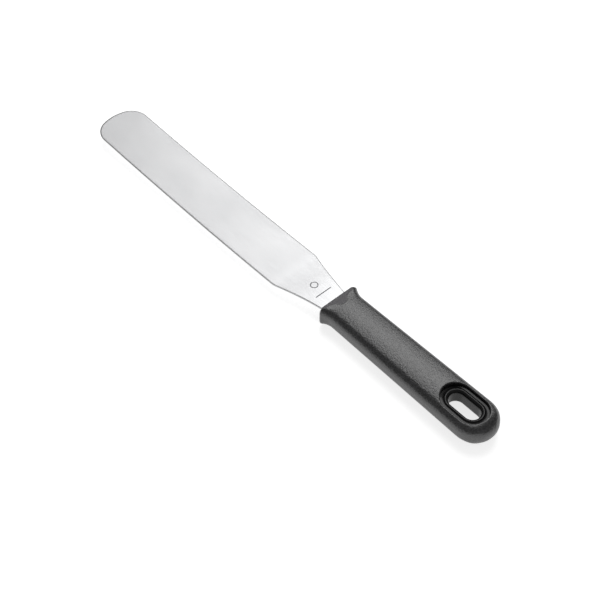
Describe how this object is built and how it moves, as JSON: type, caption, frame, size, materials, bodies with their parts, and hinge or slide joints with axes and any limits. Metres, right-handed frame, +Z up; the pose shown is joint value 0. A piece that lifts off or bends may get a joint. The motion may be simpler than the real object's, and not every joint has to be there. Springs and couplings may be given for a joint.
{
  "type": "palette knife",
  "caption": "Straight palette knife with a long round-ended spring-steel blade and a moulded handle with an oval hanging slot.",
  "frame": {"origin": "centre of the bounding box, at the level of the lowest point of the handle", "axes": "+X from the butt of the handle to the tip of the blade, +Z up, square to the blade's broad face"},
  "size_m": [0.316, 0.032, 0.014],
  "materials": {
    "blade_steel": "satin ground spring steel",
    "core_plastic": "black, smooth from the mould",
    "grip_plastic": "charcoal black, fine grained"
  },
  "bodies": {
    "root": {"blade": "blade_steel", "handle_core": "core_plastic", "handle_grip": "grip_plastic"}
  },
  "joints": []
}
